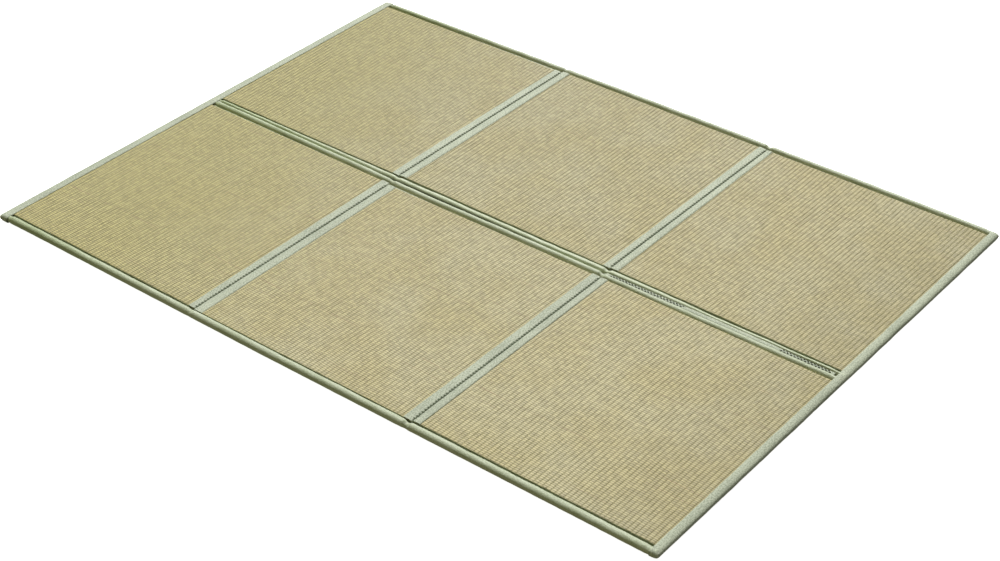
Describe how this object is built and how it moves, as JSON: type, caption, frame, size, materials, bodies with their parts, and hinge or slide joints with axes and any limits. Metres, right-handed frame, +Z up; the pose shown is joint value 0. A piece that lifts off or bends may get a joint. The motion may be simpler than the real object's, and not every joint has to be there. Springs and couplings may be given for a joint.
{
  "type": "folding tatami mat",
  "caption": "Flat rectangular folding floor mat: ribbed rush-faced panels joined edge to edge, with rolled cloth bindings along the rows and cloth tapes at the joints and ends.",
  "frame": {"origin": "under the middle of the mat, on the surface that it lies on", "axes": "+X along the mat over its three panels, +Y across its two rows from the near to the far one, +Z up"},
  "size_m": [2.1, 1.55, 0.02],
  "materials": {
    "rush_face": "ribbed woven rush, dry and slightly glossy, straw green to tan",
    "binding_cloth": "plain sage-green cloth with a slight sheen, rolled",
    "tape_cloth": "plain pale sage-green cloth, matte, flat"
  },
  "bodies": {
    "root": {"rush_panel_near_left": "rush_face", "rush_panel_near_middle": "rush_face", "rush_panel_near_right": "rush_face", "binding_near_outer": "binding_cloth", "binding_near_inner": "binding_cloth", "joint_tape_near_1": "tape_cloth", "joint_tape_near_2": "tape_cloth", "joint_tape_near_3": "tape_cloth", "joint_tape_near_4": "tape_cloth", "end_tape_near_left": "tape_cloth", "end_tape_near_right": "tape_cloth", "rush_panel_far_left": "rush_face", "rush_panel_far_middle": "rush_face", "rush_panel_far_right": "rush_face", "binding_far_outer": "binding_cloth", "binding_far_inner": "binding_cloth", "joint_tape_far_1": "tape_cloth", "joint_tape_far_2": "tape_cloth", "joint_tape_far_3": "tape_cloth", "joint_tape_far_4": "tape_cloth", "end_tape_far_left": "tape_cloth", "end_tape_far_right": "tape_cloth", "centre_hinge_tape": "tape_cloth"}
  },
  "joints": []
}
